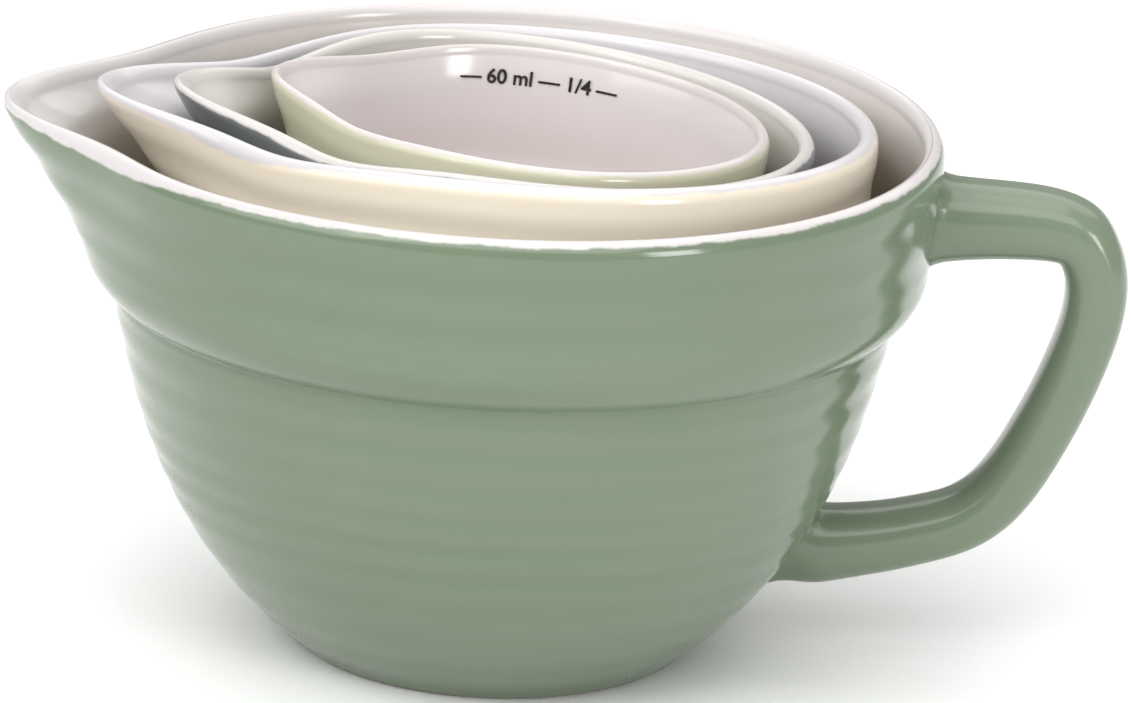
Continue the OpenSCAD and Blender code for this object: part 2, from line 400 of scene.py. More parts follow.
class Glaze(Enum):
    """The four glazes of the set."""

    # The last colour of each glaze is painted shade for deep inside the hollow.
    GREEN = StonewareGlaze("green_glaze", (0.156, 0.202, 0.134), (0.128, 0.178, 0.112),
                           (0.182, 0.22, 0.158), (0.60, 0.575, 0.575), (0.26, 0.235, 0.175))
    CREAM = StonewareGlaze("cream_glaze", (0.80, 0.73, 0.61), (0.73, 0.63, 0.49),
                           (0.82, 0.77, 0.66), (0.62, 0.60, 0.62), (0.30, 0.28, 0.25))
    SLATE = StonewareGlaze("slate_glaze", (0.13, 0.14, 0.14), (0.10, 0.11, 0.115),
                           (0.18, 0.19, 0.19), (0.59, 0.57, 0.55), (0.26, 0.235, 0.175))
    PALE_YELLOW = StonewareGlaze("pale_yellow_glaze", (0.54, 0.53, 0.40), (0.46, 0.45, 0.31),
                                 (0.60, 0.59, 0.47), (0.61, 0.57, 0.565), (0.61, 0.55, 0.54))


# --------------------------------------------------------------------------- cups

@dataclass(frozen=True)
class CupForm:
    """The shape of one cup in millimetres, standing on z = 0 with its axis on z.

    Attributes:
        rim_r: Radius of the rim.
        height: Height from foot to lip.
        wall: Thickness of the wall.
        floor: Thickness of the floor.
        spout: How far the spout is pulled past the rim circle.
        spout_angle: Half of the angle that the spout takes up, in degrees.
        turn: Turn of the spout from -x towards the front, in degrees.
        capacity: Nominal volume in millilitres.
        dip: How far the lip sinks beside the spout.
        white_drop: How much further down the white glaze runs beside the spout.
        around: Number of points in each ring.
        foot_share: Foot's radius as a share of the rim's.
        neck_share: Radius of the crease under the collar as a share of the rim's.
        shoulder_share: Radius of the collar's shoulder as a share of the rim's.
        neck_level: Height of the crease as a share of the cup's height.
        shoulder_level: Height of the shoulder as a share of the collar's height.
        flat_share: Radius of the hollow's flat floor as a share of the foot's.
        corner_level: Height of the hollow's round corner as a share of the cup's height.
        swell_even: Share of the bowl's widening that is even from foot to crease.
        swell_power: How early the rest of the widening comes.
        shoulder_power: How tightly the shoulder curls in to the crease.
        spout_power: How pointed the spout is, seen from above.
        spout_level: Height in the collar, as a share, at which the spout starts.
        spout_rise: How late in the collar the spout leans out.
        dip_share: Place of the lip's dip as a share of spout_angle.
        dip_wide: Width of the lip's dip in degrees.
        white_share: Place of the white glaze's low point as a share of spout_angle.
        white_wide: Width of that low stretch in degrees.
        lip_rise: Height of the lip's rounding as a share of half the wall.
        foot_edge: How far the foot's ring lies inside the bowl's end.
        rings: Number of throwing rings on the bowl.
        ring_drift: How unevenly the rings are spaced.
        ring_share: Depth of the rings as a share of the rim's radius.
        rib_level: Height in the collar, as a share, at which the ribs start.
        rib_pitch: Distance between two ribs as a share of the cup's height.
        rib_share: Depth between the ribs as a share of the rim's radius.
        crease_share: Depth of the crease as a share of the rim's radius.
        crease_wide: Width of the crease as a share of the cup's height.
        finger_share: Depth of the finger marks inside as a share of the rim's radius.
        waver: How much the lip's level wavers.
        bevel_share: How far the inner wall opens out under the lip, as a share of the wall.
        bevel_h: Height over which it opens out.
        fill_share: Share of the spout's pull that clay fills inside.
        fill_h: Height under the lip over which that filling starts.
    """

    rim_r: float
    height: float
    wall: float
    floor: float
    spout: float
    spout_angle: float
    turn: float
    capacity: float
    dip: float
    white_drop: float
    around: int
    foot_share: float = 0.458
    neck_share: float = 0.907
    shoulder_share: float = 0.972
    neck_level: float = 0.67
    shoulder_level: float = 0.27
    flat_share: float = 0.84
    corner_level: float = 0.16
    swell_even: float = 0.42
    swell_power: float = 3.2
    shoulder_power: float = 2.2
    spout_power: float = 4.0
    spout_level: float = 0.22
    spout_rise: float = 1.08
    dip_share: float = 0.87
    dip_wide: float = 22.0
    white_share: float = 0.65
    white_wide: float = 15.0
    lip_rise: float = 1.1
    foot_edge: float = 0.6
    rings: int = 10
    ring_drift: float = 0.012
    ring_share: float = 0.003
    rib_level: float = 0.30
    rib_pitch: float = 0.086
    rib_share: float = 0.0042
    crease_share: float = 0.0045
    crease_wide: float = 0.011
    finger_share: float = 0.0022
    waver: float = 0.1
    bevel_share: float = 0.16
    bevel_h: float = 6.5
    fill_share: float = 0.34
    fill_h: float = 3.5

    @property
    def foot_r(self) -> float:
        """Radius where the bowl meets its foot."""
        return self.foot_share * self.rim_r

    @property
    def neck_r(self) -> float:
        """Radius of the crease under the collar."""
        return self.neck_share * self.rim_r

    @property
    def neck_z(self) -> float:
        """Height of the crease under the collar."""
        return self.neck_level * self.height

    @property
    def lip_z(self) -> float:
        """Height at which the lip starts to round over."""
        return self.height - self.lip_rise * self.wall / 2

    @property
    def flat_r(self) -> float:
        """Radius of the flat part of the hollow's floor."""
        return self.flat_share * self.foot_r

    def bowl_r(self, z: np.ndarray) -> np.ndarray:
        """Radius of the bowl below the collar, without its rings."""
        u = np.clip(z / self.neck_z, 0.0, 1.0)
        swell = self.swell_even * u + (1 - self.swell_even) * (1 - (1 - u) ** self.swell_power)
        return self.foot_r + (self.neck_r - self.foot_r) * swell

    def collar_r(self, z: np.ndarray) -> np.ndarray:
        """Radius of the collar from its crease to the lip, without its ribs."""
        v = np.clip((z - self.neck_z) / (self.height - self.neck_z), 0.0, 1.0)
        shoulder = self.shoulder_share * self.rim_r
        curl = np.clip(1 - v / self.shoulder_level, 0.0, 1.0) ** self.shoulder_power
        round_r = self.neck_r + (shoulder - self.neck_r) * (1 - curl)
        climb = (v - self.shoulder_level) / (1 - self.shoulder_level)
        return np.where(v < self.shoulder_level, round_r, shoulder + (self.rim_r - shoulder) * climb)

    def plain_r(self, z: np.ndarray) -> np.ndarray:
        """Outer radius at any height, without rings and ribs."""
        z = np.asarray(z, float)
        return np.where(z <= self.neck_z, self.bowl_r(z), self.collar_r(z))

    def hollow_r(self, z: np.ndarray) -> np.ndarray:
        """Radius of the hollow at any height above the floor."""
        z = np.asarray(z, float)
        v = np.clip((z - self.floor) / (self.corner_level * self.height), 0.0, 1.0)
        return self.flat_r + (self.plain_r(z) - self.wall - self.flat_r) * np.sqrt(v * (2 - v))

    def ring_wave(self, z: np.ndarray) -> np.ndarray:
        """Throwing rings of the bowl: 0 on a crest and 1 in a groove."""
        u = np.clip(z / self.neck_z, 0.0, 1.0)
        drift = u + self.ring_drift * np.sin(2 * math.pi * 1.7 * u)
        wave = (1 - np.cos(2 * math.pi * self.rings * drift)) / 2
        strength = 0.8 + 0.2 * np.sin(2 * math.pi * 2.3 * u + 0.8)
        return np.where(z < self.neck_z, wave ** 1.15 * strength, 0.0)

    def rib_wave(self, z: np.ndarray) -> np.ndarray:
        """Three soft ribs of the collar: 0 on a crest and 1 between two."""
        start = self.neck_z + self.rib_level * (self.height - self.neck_z)
        phase = (z - start) / (self.rib_pitch * self.height)
        wave = (1 - np.cos(2 * math.pi * phase)) / 2
        fade = smoothstep(phase, 0.0, 0.35) * (1 - smoothstep(phase, 2.75, 3.1))
        return wave * fade

    def crease(self, z: np.ndarray) -> np.ndarray:
        """The crease under the collar: 1 in its middle, and 0 away from it."""
        return np.exp(-((z - self.neck_z) / (self.crease_wide * self.height)) ** 2)

    def carving(self, angle: np.ndarray, z: np.ndarray) -> np.ndarray:
        """How deep the rings, the ribs and the crease are cut, uneven as a hand leaves them.

        Args:
            angle: Angle from the middle of the spout, in radians.
            z: Height.

        Returns:
            The depth in millimetres.
        """
        uneven = 1 + 0.22 * np.sin(2 * angle + 0.23 * z) + 0.12 * np.sin(5 * angle - 0.31 * z)
        by_hand = self.ring_share * self.ring_wave(z) + self.rib_share * self.rib_wave(z)
        return self.rim_r * (by_hand * uneven + self.crease_share * self.crease(z))

    def finger_marks(self, angle: np.ndarray, z: np.ndarray) -> np.ndarray:
        """How far the soft swells inside the hollow stand in from its wall.

        Args:
            angle: Angle from the middle of the spout, in radians.
            z: Height.

        Returns:
            The swell in millimetres.
        """
        fade = smoothstep(self.lip_z - z, 2.0, 6.0) * smoothstep(z, self.floor + 1.0, self.floor + 8.0)
        return self.finger_share * self.rim_r * np.sin(0.42 * z + 0.6 * np.sin(angle)) ** 2 * fade

    def relief(self, z: np.ndarray) -> np.ndarray:
        """How the outside glaze lies: under 1 where it runs thin, and up to 2 where it pools."""
        groove = self.ring_wave(z)
        crest = np.where(z < self.neck_z, 1 - groove, 0.0)
        lying = 1.0 + 0.3 * groove - 0.2 * crest + 0.2 * self.rib_wave(z) + 0.8 * self.crease(z)
        return np.clip(lying, 0.0, 2.0)

    def pull(self, angle: np.ndarray, z: np.ndarray) -> np.ndarray:
        """How far the spout pulls the wall outwards.

        Args:
            angle: Angle from the middle of the spout, in radians, from -pi to pi.
            z: Height.

        Returns:
            The pull in millimetres.
        """
        v = (z - self.neck_z) / (self.height - self.neck_z)
        rise = np.clip((v - self.spout_level) / (1 - self.spout_level), 0.0, 1.0) ** self.spout_rise
        across = np.clip(np.abs(np.degrees(angle)) / self.spout_angle, 0.0, 1.0)
        return self.spout * rise * np.cos(math.pi / 2 * across) ** self.spout_power

    def bevel(self, z: np.ndarray) -> np.ndarray:
        """How far the inner wall opens out just under the lip."""
        near = np.clip(1 - (self.lip_z - z) / self.bevel_h, 0.0, 1.0)
        return self.bevel_share * self.wall * near ** 2

    def trough(self, angle: np.ndarray, z: np.ndarray) -> np.ndarray:
        """How much clay fills the inside of the spout under its lip."""
        depth = smoothstep(self.lip_z - z, 0.0, self.fill_h)
        return self.fill_share * self.pull(angle, z) * depth

    def sink(self, angle: np.ndarray, z: np.ndarray) -> np.ndarray:
        """How far the lip dips on both sides of the spout, where the pull has drawn clay away."""
        off_middle = np.abs(np.degrees(angle)) - self.dip_share * self.spout_angle
        beside = np.exp(-(off_middle / self.dip_wide) ** 2)
        wavering = self.waver * (1 + np.sin(3 * angle + self.rim_r)) / 2
        return (self.dip * beside + wavering) * smoothstep(z, self.neck_z, self.height)

    def white_edge(self, angle: np.ndarray) -> np.ndarray:
        """How much further down the white glaze reaches at any angle from the spout."""
        off_middle = np.abs(np.degrees(angle)) - self.white_share * self.spout_angle
        return self.white_drop * np.exp(-(off_middle / self.white_wide) ** 2)

    def fill_z(self) -> float:
        """Height at which the hollow holds the nominal volume."""
        z = np.linspace(self.floor, self.lip_z, 400)
        slices = math.pi * self.hollow_r((z[1:] + z[:-1]) / 2) ** 2 * np.diff(z) / 1000.0
        return float(np.interp(self.capacity, np.concatenate([[0.0], np.cumsum(slices)]), z))


@dataclass(frozen=True)
class Foot:
    """The underside of a cup in millimetres: a bare ring round a shallow glazed recess.

    Attributes:
        ring: Width of the bare ring.
        recess: Depth of the recess.
        round_h: Height over which the foot's edge rounds into the bowl.
        knee_share: How far out the rounding's control point lies, between foot and bowl.
        edge_rows: Number of points along the rounding.
        glaze_z: Height at which the bowl's glaze ends.
    """

    ring: float = 3.4
    recess: float = 0.7
    round_h: float = 1.0
    knee_share: float = 0.45
    edge_rows: int = 6
    glaze_z: float = 0.18

    def outline(self, form: CupForm) -> list[tuple[float, float]]:
        """Radius and height from the middle of the underside to the bowl.

        Args:
            form: The cup that stands on this foot.

        Returns:
            The outline's points.
        """
        outer = form.foot_r - form.foot_edge
        inner = outer - self.ring
        points = [(inner * share, self.recess) for share in (0.12, 0.35, 0.6, 0.8, 0.92)]
        points += [(inner - self.recess * math.cos(t), self.recess * (1 - math.sin(t)))
                   for t in np.linspace(0.0, math.pi / 2, 6)]
        points += [(inner + self.ring * share, 0.0) for share in (0.33, 0.67, 1.0)]
        top = float(form.bowl_r(np.array(self.round_h)))
        knee = outer + self.knee_share * (top - outer)
        for t in np.linspace(0.0, 1.0, self.edge_rows + 1)[1:]:
            r = (1 - t) ** 2 * outer + 2 * t * (1 - t) * knee + t * t * top
            points.append((r, t * t * self.round_h))
        return points


@dataclass
class Cup:
    """One stoneware cup: its bowl and its capacity mark.

    Attributes:
        label: Name of the CAD body, and the start of the piece's names.
        form: The cup's shape.
        glaze: The cup's glaze.
        place: Where the cup stands, in metres.
        mark: The generic wording of its capacity mark.
        foot: The cup's underside.
        line_share: Share of the lip's rounding, from below, that the coloured glaze covers.
        bowl_rows: Number of rings on the bowl.
        collar_rows: Number of rings on the collar, and again on the wall of the hollow.
        lip_rows: Number of rings over the lip.
        corner_rows: Number of rings round the hollow's corner.
    """

    label: str
    form: CupForm
    glaze: Glaze
    place: Matrix
    mark: str
    foot: Foot = field(default_factory=Foot)
    line_share: float = 0.66
    bowl_rows: int = 121
    collar_rows: int = 55
    lip_rows: int = 20
    corner_rows: int = 17

    def section(self) -> tuple[np.ndarray, np.ndarray]:
        """Radius and height of every ring, from under the foot, over the lip, to the floor."""
        form = self.form
        outline = self.foot.outline(form)
        z = np.linspace(self.foot.round_h, form.neck_z, self.bowl_rows + 1)[1:]
        outline += list(zip(form.bowl_r(z), z))
        up = np.linspace(0.0, 1.0, self.collar_rows + 1)[1:]
        z = form.neck_z + (form.lip_z - form.neck_z) * up ** 1.35
        outline += list(zip(form.collar_r(z), z))
        half = form.wall / 2
        outer_lip = float(form.plain_r(form.lip_z))
        inner_half = half - form.bevel_share * form.wall
        for t in np.linspace(0.0, math.pi, self.lip_rows + 1)[1:]:
            reach = half if t < math.pi / 2 else inner_half
            outline.append((outer_lip - half + reach * math.cos(t),
                            form.lip_z + form.lip_rise * half * math.sin(t)))
        corner = form.floor + form.corner_level * form.height
        z = form.lip_z + (corner - form.lip_z) * up ** 1.4
        outline += list(zip(form.hollow_r(z) + form.bevel(z), z))
        z = form.floor + (corner - form.floor) * np.linspace(1.0, 0.0, self.corner_rows + 1)[1:] ** 2
        outline += list(zip(form.hollow_r(z), z))
        outline += [(form.flat_r * share, form.floor) for share in (0.8, 0.55, 0.3, 0.1)]
        line = np.array(outline)
        return line[:, 0], line[:, 1]

    def shell(self) -> RingMesh:
        """The whole bowl as rings of points, with the values that its glaze reads."""
        form = self.form
        r, z = self.section()
        lip = int(np.argmax(z))
        outside = np.arange(len(r)) <= lip
        arc = np.concatenate([[0.0], np.cumsum(np.hypot(np.diff(r), np.diff(z)))])
        rising = slice(len(self.foot.outline(form)) - self.foot.edge_rows, lip)
        line_z = form.lip_z + self.line_share * (form.height - form.lip_z)
        line_arc, foot_arc = np.interp([line_z, self.foot.glaze_z], z[rising], arc[rising])
        ring_outer = form.foot_r - form.foot_edge
        bare = np.minimum(arc - (ring_outer - self.foot.ring), foot_arc - arc)

        angle = 2 * math.pi * np.arange(form.around) / form.around - math.pi
        a, zz = np.meshgrid(angle, z)
        inward = form.finger_marks(a, zz) + form.trough(a, zz)
        radius = r[:, None] - np.where(outside[:, None], form.carving(a, zz), inward)
        radius += form.pull(a, zz)
        height = zz - form.sink(a, zz)
        heading = a + math.radians(form.turn)
        rings = np.stack([-radius * np.cos(heading), -radius * np.sin(heading), height], axis=-1)
        flat = np.ones_like(a)
        return RingMesh(rings, {
            "white_mm": (arc - line_arc)[:, None] + form.white_edge(a),
            "bare_mm": bare[:, None] * flat,
            # depth below the lip, which the glaze's painted shade reads
            "painted_shade_depth_mm": np.where(outside, 0.0, np.clip(form.height - z, 0.0, 30.0))[:, None] * flat,
            "relief": np.where(outside, form.relief(z), 1.0)[:, None] * flat,
        })

    def make_bowl(self) -> bpy.types.Object:
        """Builds, dresses and places the bowl."""
        bowl = self.shell().build(f"{self.label}_stoneware")
        bowl.data.materials.append(self.glaze.value.material())
        bowl.matrix_world = self.place
        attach(bowl, self.label)
        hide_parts(f"{self.label}_bowl")
        return bowl

    def make_mark(self, enamel: bpy.types.Material) -> bpy.types.Object:
        """Builds, dresses and places the capacity mark."""
        mark = CapacityMark(self.mark, self.form).make(f"{self.label}_capacity_mark")
        mark.data.materials.append(enamel)
        mark.matrix_world = self.place
        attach(mark, self.label)
        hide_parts(f"{self.label}_mark")
        return mark


@dataclass
class CapacityMark:
    """A line of plain characters fired on to the back of a hollow.

    Attributes:
        wording: The characters, which are only numbers, a unit and dashes.
        form: The cup that carries the mark.
        size: Height of the type in millimetres.
        film: Thickness of the enamel.
        rooted: How deep the enamel's back lies in the glaze.
        weight: How much each stroke is thickened.
        slice_w: Width of the slices that let the type bend.
    """

    wording: str
    form: CupForm
    size: float = 2.5
    film: float = 0.05
    rooted: float = 0.06
    weight: float = 0.045
    slice_w: float = 0.5

    def flat_type(self) -> bmesh.types.BMesh:
        """Sets the wording as a flat slab of type and slices it so that it can bend."""
        curve = bpy.data.curves.new("type", "FONT")
        curve.body = self.wording
        curve.size = self.size
        curve.align_x = "CENTER"
        curve.extrude = 0.5  # only tells the face from the back, which make() sets apart
        curve.offset = self.weight
        curve.resolution_u = 4
        setter = bpy.data.objects.new("type", curve)
        bpy.context.scene.collection.objects.link(setter)
        graph = bpy.context.evaluated_depsgraph_get()
        flat = bpy.data.meshes.new_from_object(setter.evaluated_get(graph))
        bpy.data.objects.remove(setter)
        bpy.data.curves.remove(curve)
        slab = bmesh.new()
        slab.from_mesh(flat)
        bpy.data.meshes.remove(flat)
        bmesh.ops.remove_doubles(slab, verts=slab.verts, dist=1e-5)
        reach = max(abs(v.co.x) for v in slab.verts)
        for x in np.arange(-reach + self.slice_w / 2, reach, self.slice_w):
            bmesh.ops.bisect_plane(slab, geom=slab.verts[:] + slab.edges[:] + slab.faces[:],
                                   plane_co=(x, 0, 0), plane_no=(1, 0, 0))
        return slab

    def make(self, name: str) -> bpy.types.Object:
        """Bends the type round the hollow's wall at the level of the nominal volume.

        Args:
            name: The piece's name.

        Returns:
            The new object, linked to the scene.
        """
        level = self.form.fill_z()
        radius = float(self.form.hollow_r(level))
        slab = self.flat_type()
        for vert in slab.verts:
            turn = math.pi / 2 - vert.co.x / radius
            z = level + vert.co.y
            off = self.film if vert.co.z > 0 else -self.rooted
            r = float(self.form.hollow_r(z)) - off
            vert.co = Vector((r * math.cos(turn), r * math.sin(turn), z)) * MM
        bmesh.ops.recalc_face_normals(slab, faces=slab.faces)
        mesh = bpy.data.meshes.new(name)
        slab.to_mesh(mesh)
        slab.free()
        piece = bpy.data.objects.new(name, mesh)
        bpy.context.scene.collection.objects.link(piece)
        return piece


# --------------------------------------------------------------------------- handle

@dataclass(frozen=True)
class StrapHandle:
    """The strap of clay that is luted to the outermost cup.

    Attributes:
        form: The cup that carries the handle.
        width: Width of the strap in millimetres.
        thick: Thickness of the strap in millimetres.
        line: The strap's centre line as shares of the cup's rim radius and height.
        square: How square the strap's section is: 1 is an ellipse, and less is squarer.
        flare: How much thicker the strap is at its joins, in millimetres.
        top_fade: How soon the flare fades from the upper join.
        root_fade: How soon the flare fades from the lower join.
        fillet: How far the clay is smoothed out on to the wall.
        fillet_fade: Distance from the wall over which the fillet fades.
        lean: Distance square to the wall as a share of the level distance.
        tuck: How far the underside rises into the wall at the lower join.
        tuck_share: Share of the line over which it rises.
        bend_share: Share of the line over which the inner side is smoothed.
        bend: Shares of the line where the smoothing starts, is full, starts to end and ends.
        sunk: How deep the strap's ends lie in the wall.
        past: How far the line runs on past its lower end, as a share.
        steps: Number of places at which the strap is worked out before it is trimmed.
        even: How evenly the rings are spread; the rest crowds them to the joins.
        sides: Number of points in each ring.
        along: Number of rings.
        thin_edge: How much thinner the glaze runs along the strap's rounded edges.
        pool: How much thicker it lies in the creases at the joins.
        pool_wide: Width of those creases in millimetres.
    """

    form: CupForm
    width: float = 10.0
    thick: float = 7.2
    line: tuple[tuple[float, float], ...] = (
        (0.92, 0.845), (1.245, 0.845), (1.345, 0.79), (1.355, 0.665),
        (1.265, 0.46), (1.14, 0.3), (0.96, 0.235), (0.64, 0.19))
    square: float = 0.77
    flare: float = 3.6
    top_fade: float = 10.0
    root_fade: float = 15.0
    fillet: float = 0.6
    fillet_fade: float = 0.6
    lean: float = 0.75
    tuck: float = 1.5
    tuck_share: float = 0.07
    bend_share: float = 0.09
    bend: tuple[float, float, float, float] = (0.05, 0.12, 0.32, 0.45)
    sunk: float = 1.2
    past: float = 0.06
    steps: int = 1696
    even: float = 0.72
    sides: int = 56
    along: int = 190
    thin_edge: float = 0.35
    pool: float = 0.8
    pool_wide: float = 0.9

    def centre(self, share: np.ndarray) -> np.ndarray:
        """Points of the smooth centre line, as x and z in millimetres.

        Args:
            share: Places along the line from 0 at the upper join to 1 at the lower one; past 1 the
                line runs straight on.

        Returns:
            An array with a row for each place.
        """
        knots = np.array(self.line) * (self.form.rim_r, self.form.height)
        knots = np.vstack([2 * knots[0] - knots[1], knots, 2 * knots[-1] - knots[-2]])
        spans = len(knots) - 3
        place = np.clip(share * spans, 0.0, spans - 1e-9)
        first = place.astype(int)
        s = (place - first)[:, None]
        p = [knots[first + k] for k in range(4)]
        line = 0.5 * (2 * p[1] + (p[2] - p[0]) * s + (2 * p[0] - 5 * p[1] + 4 * p[2] - p[3]) * s ** 2
                      + (3 * p[1] - p[0] - 3 * p[2] + p[3]) * s ** 3)
        past_end = np.maximum(share - 1.0, 0.0)[:, None] * spans
        return line + past_end * (knots[-2] - knots[-3])

    def skin(self, share: np.ndarray) -> np.ndarray:
        """Rings of points round the strap, before its ends are trimmed to the wall.

        Args:
            share: Places along the line, as for centre().

        Returns:
            Points in millimetres, indexed by place, side and axis.
        """
        mid = self.centre(share)
        along = np.gradient(mid, axis=0)
        along /= np.linalg.norm(along, axis=1, keepdims=True)
        to_root = np.maximum(1 - share, 0.0)
        flare = self.flare * (np.exp(-self.top_fade * share) + np.exp(-self.root_fade * to_root))
        t = 2 * math.pi * np.arange(self.sides) / self.sides
        out = (np.sign(np.cos(t)) * np.abs(np.cos(t)) ** self.square)[None, :]
        across = (np.sign(np.sin(t)) * np.abs(np.sin(t)) ** self.square)[None, :]
        thick = ((self.thick + flare) / 2)[:, None] * out
        width = ((self.width + flare / 3) / 2)[:, None] * across
        x = mid[:, :1] - thick * along[:, 1:]
        z = mid[:, 1:] + thick * along[:, :1]
        clear = (np.hypot(x, width) - self.form.plain_r(z)) * self.lean
        underside = smoothstep(out, -0.3, 0.6) * smoothstep(share, 0.4, 0.6)[:, None]
        toe = self.fillet * np.exp(-np.maximum(clear, 0.0) / self.fillet_fade) * (1 - underside)
        end = smoothstep(share, 1 - self.tuck_share, 1.0)[:, None]
        toe -= self.tuck * (1 - np.cos(math.pi / 2 * end)) * underside
        x -= toe * np.cos(t)[None, :] * along[:, 1:]
        z += toe * np.cos(t)[None, :] * along[:, :1]
        width += toe * np.sin(t)[None, :]
        return self.soften(np.stack([x, width, z], axis=-1), -out[0])

    def soften(self, skin: np.ndarray, inner: np.ndarray) -> np.ndarray:
        """Rounds the inner side of the strap's bends.

        Args:
            skin: Rings of points along the strap.
            inner: How far each side lies towards the finger gap, from -1 to 1.

        Returns:
            The softened rings.
        """
        reach = int(self.bend_share * len(skin))
        kernel = np.exp(-np.linspace(-2.6, 2.6, 2 * reach + 1) ** 2 / 2)
        kernel /= kernel.sum()
        padded = np.pad(skin, ((reach, reach), (0, 0), (0, 0)), "reflect", reflect_type="odd")
        smooth = np.empty_like(skin)
        for side in range(skin.shape[1]):
            for axis in range(3):
                smooth[:, side, axis] = np.convolve(padded[:, side, axis], kernel, "valid")
        place = np.arange(len(skin)) / len(skin)
        start, full, fade, stop = self.bend
        share = smoothstep(place, start, full) * (1 - smoothstep(place, fade, stop))
        weight = smoothstep(inner, -0.1, 0.7)[None, :, None] * share[:, None, None]
        return skin + weight * (smooth - skin)

    def trimmed(self) -> np.ndarray:
        """Rings whose ends lie just inside the bowl's wall."""
        share = np.linspace(0.0, 1.0 + self.past, self.steps)
        middle = self.steps // 2
        spread = np.linspace(-1.0, 1.0, self.along)
        eased = (self.even * spread + (1 - self.even) * spread ** 3 + 1) / 2
        skin = self.skin(share)
        clear = np.hypot(skin[..., 0], skin[..., 1]) - (self.form.plain_r(skin[..., 2]) - self.sunk)
        rings = np.empty((self.along, self.sides, 3))
        for side in range(self.sides):
            inside = np.nonzero(clear[:, side] <= 0)[0]
            start = max(inside[inside < middle], default=0)
            stop = min(inside[inside > middle], default=self.steps - 1)
            places = share[start] + (share[stop] - share[start]) * eased
            for axis in range(3):
                rings[:, side, axis] = np.interp(places, share, skin[:, side, axis])
        return rings

    def make(self, glaze: bpy.types.Material) -> bpy.types.Object:
        """Builds, dresses and places the handle.

        Args:
            glaze: The finish that it shares with its cup.

        Returns:
            The new object.
        """
        rings = self.trimmed()
        t = 2 * math.pi * np.arange(self.sides) / self.sides
        edge = np.sin(2 * t) ** 2
        clear = np.hypot(rings[..., 0], rings[..., 1]) - self.form.plain_r(rings[..., 2])
        crease = np.exp(-np.maximum(clear, 0.0) / self.pool_wide)
        relief = 1.0 - self.thin_edge * edge[None, :] + self.pool * crease
        all_coloured = np.full(rings.shape[:2], -20.0)
        skin = RingMesh(rings[:, ::-1], {
            "white_mm": all_coloured,
            "bare_mm": all_coloured,
            # no painted shade on the handle
            "painted_shade_depth_mm": np.zeros(rings.shape[:2]),
            "relief": relief[:, ::-1],
        })
        strap = skin.build("one_cup_strap_handle")
        strap.data.materials.append(glaze)
        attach(strap, "one_cup")
        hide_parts("one_cup_handle")
        return strap


# --------------------------------------------------------------------------- nest

@dataclass(frozen=True)
class Nest:
    """How the cups stand in each other: shifts in millimetres and leans in degrees.

    Attributes:
        seat_gap: Clearance between a cup's foot and the floor that it stands on.
        half_lean: Turns of the half cup about x and then y.
        third_lean: Turns of the third cup about x and then y.
        half_shift: Shift of the half cup along x in the one cup.
        third_shift: Shift of the third cup along x in the half cup.
        quarter_shift: Shift of the quarter cup along x in the third cup.
    """

    seat_gap: float = 0.3
    half_lean: tuple[float, float] = (-2.5, 1.4)
    third_lean: tuple[float, float] = (1.5, 3.0)
    half_shift: float = 0.8
    third_shift: float = -3.1
    quarter_shift: float = 1.0

    def step(self, outer: CupForm, inner: CupForm, shift: float, lean: tuple[float, float]) -> Matrix:
        """Places an inner cup on the floor of the next larger one.

        Args:
            outer: The cup that holds.
            inner: The cup that stands in it.
            shift: Shift of the inner cup along x.
            lean: Turns about x and then y.

        Returns:
            The inner cup's place in the outer cup's own frame, in metres.
        """
        lift = inner.foot_r * math.sin(math.radians(math.hypot(*lean)))
        place = Matrix.Translation(Vector((shift, 0, outer.floor + self.seat_gap + lift)) * MM)
        about_x = Matrix.Rotation(math.radians(lean[0]), 4, "X")
        about_y = Matrix.Rotation(math.radians(lean[1]), 4, "Y")
        return place @ about_y @ about_x

    def cups(self) -> list[Cup]:
        """The four cups from the outermost to the innermost, each in its place."""
        one = CupForm(rim_r=51, height=64, wall=3.2, floor=4.3, spout=9.6, spout_angle=37, turn=0,
                      capacity=236.6, dip=0.3, white_drop=1.2, around=320)
        half = CupForm(rim_r=41, height=59.5, wall=2.9, floor=3.8, spout=11, spout_angle=42, turn=4,
                       capacity=118.3, dip=1.8, white_drop=1.2, around=264)
        third = CupForm(rim_r=34, height=54.5, wall=2.6, floor=3.4, spout=8.8, spout_angle=42, turn=10,
                        capacity=78.9, dip=2.4, white_drop=0.4, around=240)
        quarter = CupForm(rim_r=27.5, height=51, wall=2.2, floor=3.1, spout=4.6, spout_angle=46, turn=-5,
                          capacity=59.1, dip=0.9, white_drop=0.0, around=224, bevel_share=0.28, bevel_h=4.5)
        in_half = self.step(one, half, self.half_shift, self.half_lean)
        in_third = in_half @ self.step(half, third, self.third_shift, self.third_lean)
        in_quarter = in_third @ self.step(third, quarter, self.quarter_shift, (0.0, 0.0))
        return [
            Cup("one_cup", one, Glaze.GREEN, Matrix.Identity(4), "— 240 ml — 1 —"),
            Cup("half_cup", half, Glaze.CREAM, in_half, "— 120 ml — 1/2 —"),
            Cup("third_cup", third, Glaze.SLATE, in_third, "— 80 ml — 1/3 —"),
            Cup("quarter_cup", quarter, Glaze.PALE_YELLOW, in_quarter, "— 60 ml — 1/4 —"),
        ]


# --------------------------------------------------------------------------- studio

